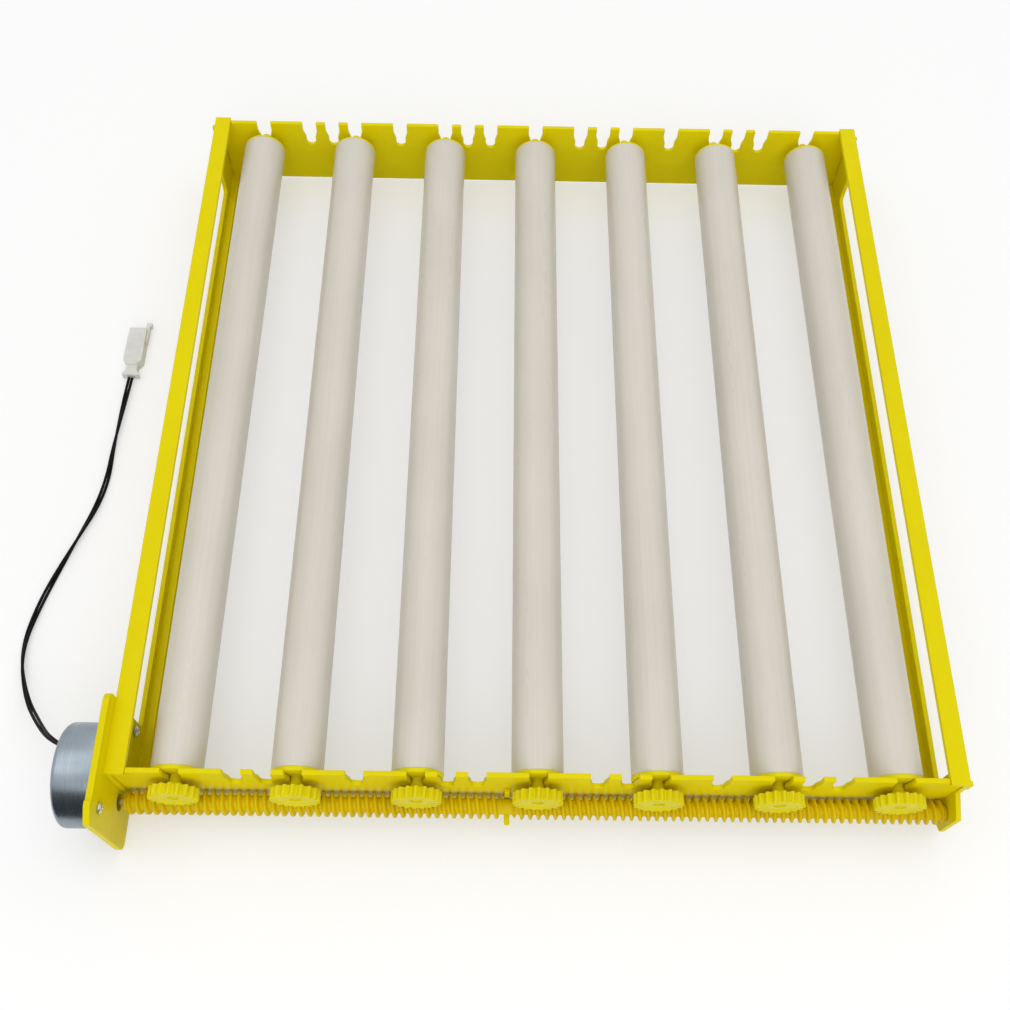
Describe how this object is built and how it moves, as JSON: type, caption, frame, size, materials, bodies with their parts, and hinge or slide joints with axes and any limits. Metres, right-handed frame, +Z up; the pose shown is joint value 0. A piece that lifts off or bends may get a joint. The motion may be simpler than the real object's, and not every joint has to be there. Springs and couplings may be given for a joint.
{
  "type": "egg incubator roller tray",
  "caption": "Egg-turning tray: hollow rollers in a slotted yellow frame, turned by a long worm from a small geared motor with a loose lead.",
  "frame": {"origin": "centre of the bounding box's bottom face, lead and connector left out", "axes": "+X along the worm to the right, +Y along the rollers to the rear, +Z up"},
  "size_m": [0.4664, 0.4326, 0.0592],
  "materials": {
    "yellow_plastic": "glossy moulded plastic, fine scuffs",
    "cap_plastic": "glossy moulded plastic",
    "worm_plastic": "moulded plastic, greased sheen",
    "tube_plastic": "extruded plastic, satin",
    "gear_plastic": "natural acetal",
    "motor_steel": "drawn and plated steel",
    "bright_steel": "nickel-plated steel",
    "brass": "sintered brass",
    "tinned_brass": "tinned brass",
    "magnet": "bonded ferrite",
    "copper_wire": "enamelled copper",
    "black_rubber": "moulded rubber",
    "lead_jacket": "PVC insulation, twisted pair",
    "connector_nylon": "natural nylon"
  },
  "bodies": {
    "frame": {"left_side_frame": "yellow_plastic", "right_side_frame": "yellow_plastic", "front_wall": "yellow_plastic", "rear_wall": "yellow_plastic", "worm_saddle": "yellow_plastic", "motor_bracket": "yellow_plastic", "motor_flange": "motor_steel", "motor_can": "motor_steel", "motor_grommet": "black_rubber", "motor_screws": "bright_steel", "output_bush": "brass", "gear_plate": "motor_steel", "gear_pins": "bright_steel", "coil_bobbin": "gear_plastic", "coil_winding": "copper_wire", "lead": "lead_jacket", "connector_housing": "connector_nylon", "connector_terminals": "tinned_brass"},
    "worm": {"worm_left": "worm_plastic", "worm_right": "worm_plastic", "worm_core": "bright_steel", "output_shaft": "bright_steel"},
    "idler_a_gear": {"idler_a": "gear_plastic"},
    "idler_b_gear": {"idler_b": "gear_plastic"},
    "rotor_group": {"rotor": "magnet"},
    "roller_1": {"roller_tube_1": "tube_plastic", "gear_cap_1": "cap_plastic", "rear_cap_1": "cap_plastic"},
    "roller_2": {"roller_tube_2": "tube_plastic", "gear_cap_2": "cap_plastic", "rear_cap_2": "cap_plastic"},
    "roller_3": {"roller_tube_3": "tube_plastic", "gear_cap_3": "cap_plastic", "rear_cap_3": "cap_plastic"},
    "roller_4": {"roller_tube_4": "tube_plastic", "gear_cap_4": "cap_plastic", "rear_cap_4": "cap_plastic"},
    "roller_5": {"roller_tube_5": "tube_plastic", "gear_cap_5": "cap_plastic", "rear_cap_5": "cap_plastic"},
    "roller_6": {"roller_tube_6": "tube_plastic", "gear_cap_6": "cap_plastic", "rear_cap_6": "cap_plastic"},
    "roller_7": {"roller_tube_7": "tube_plastic", "gear_cap_7": "cap_plastic", "rear_cap_7": "cap_plastic"}
  },
  "joints": [
    {"name": "worm_turn", "type": "hinge", "parent": "frame", "child": "worm", "pos_m": [0.01, -0.19685, 0.01833], "axis": [1, 0, 0], "continuous": true},
    {"name": "roller_turn_1", "type": "hinge", "parent": "frame", "child": "roller_1", "pos_m": [-0.158, 0.01225, 0.034], "axis": [0, 1, 0], "continuous": true},
    {"name": "roller_turn_2", "type": "hinge", "parent": "frame", "child": "roller_2", "pos_m": [-0.102, 0.01225, 0.034], "axis": [0, 1, 0], "continuous": true},
    {"name": "roller_turn_3", "type": "hinge", "parent": "frame", "child": "roller_3", "pos_m": [-0.046, 0.01225, 0.034], "axis": [0, 1, 0], "continuous": true},
    {"name": "roller_turn_4", "type": "hinge", "parent": "frame", "child": "roller_4", "pos_m": [0.01, 0.01225, 0.034], "axis": [0, 1, 0], "continuous": true},
    {"name": "roller_turn_5", "type": "hinge", "parent": "frame", "child": "roller_5", "pos_m": [0.066, 0.01225, 0.034], "axis": [0, 1, 0], "continuous": true},
    {"name": "roller_turn_6", "type": "hinge", "parent": "frame", "child": "roller_6", "pos_m": [0.122, 0.01225, 0.034], "axis": [0, 1, 0], "continuous": true},
    {"name": "roller_turn_7", "type": "hinge", "parent": "frame", "child": "roller_7", "pos_m": [0.178, 0.01225, 0.034], "axis": [0, 1, 0], "continuous": true},
    {"name": "idler_a_turn", "type": "hinge", "parent": "frame", "child": "idler_a_gear", "pos_m": [-0.1962, -0.18805, 0.01474], "axis": [1, 0, 0], "continuous": true},
    {"name": "idler_b_turn", "type": "hinge", "parent": "frame", "child": "idler_b_gear", "pos_m": [-0.1962, -0.18205, 0.02211], "axis": [1, 0, 0], "continuous": true},
    {"name": "rotor_turn", "type": "hinge", "parent": "frame", "child": "rotor_group", "pos_m": [-0.1962, -0.18735, 0.03], "axis": [1, 0, 0], "continuous": true}
  ],
  "couplings": [
    {"joint": "roller_turn_1", "follows": "worm_turn", "ratio": 0.058824},
    {"joint": "roller_turn_2", "follows": "worm_turn", "ratio": 0.058824},
    {"joint": "roller_turn_3", "follows": "worm_turn", "ratio": 0.058824},
    {"joint": "roller_turn_4", "follows": "worm_turn", "ratio": 0.058824},
    {"joint": "roller_turn_5", "follows": "worm_turn", "ratio": 0.058824},
    {"joint": "roller_turn_6", "follows": "worm_turn", "ratio": 0.058824},
    {"joint": "roller_turn_7", "follows": "worm_turn", "ratio": 0.058824},
    {"joint": "idler_a_turn", "follows": "worm_turn", "ratio": -2.8},
    {"joint": "idler_b_turn", "follows": "worm_turn", "ratio": 7.84},
    {"joint": "rotor_turn", "follows": "worm_turn", "ratio": -21.952}
  ]
}
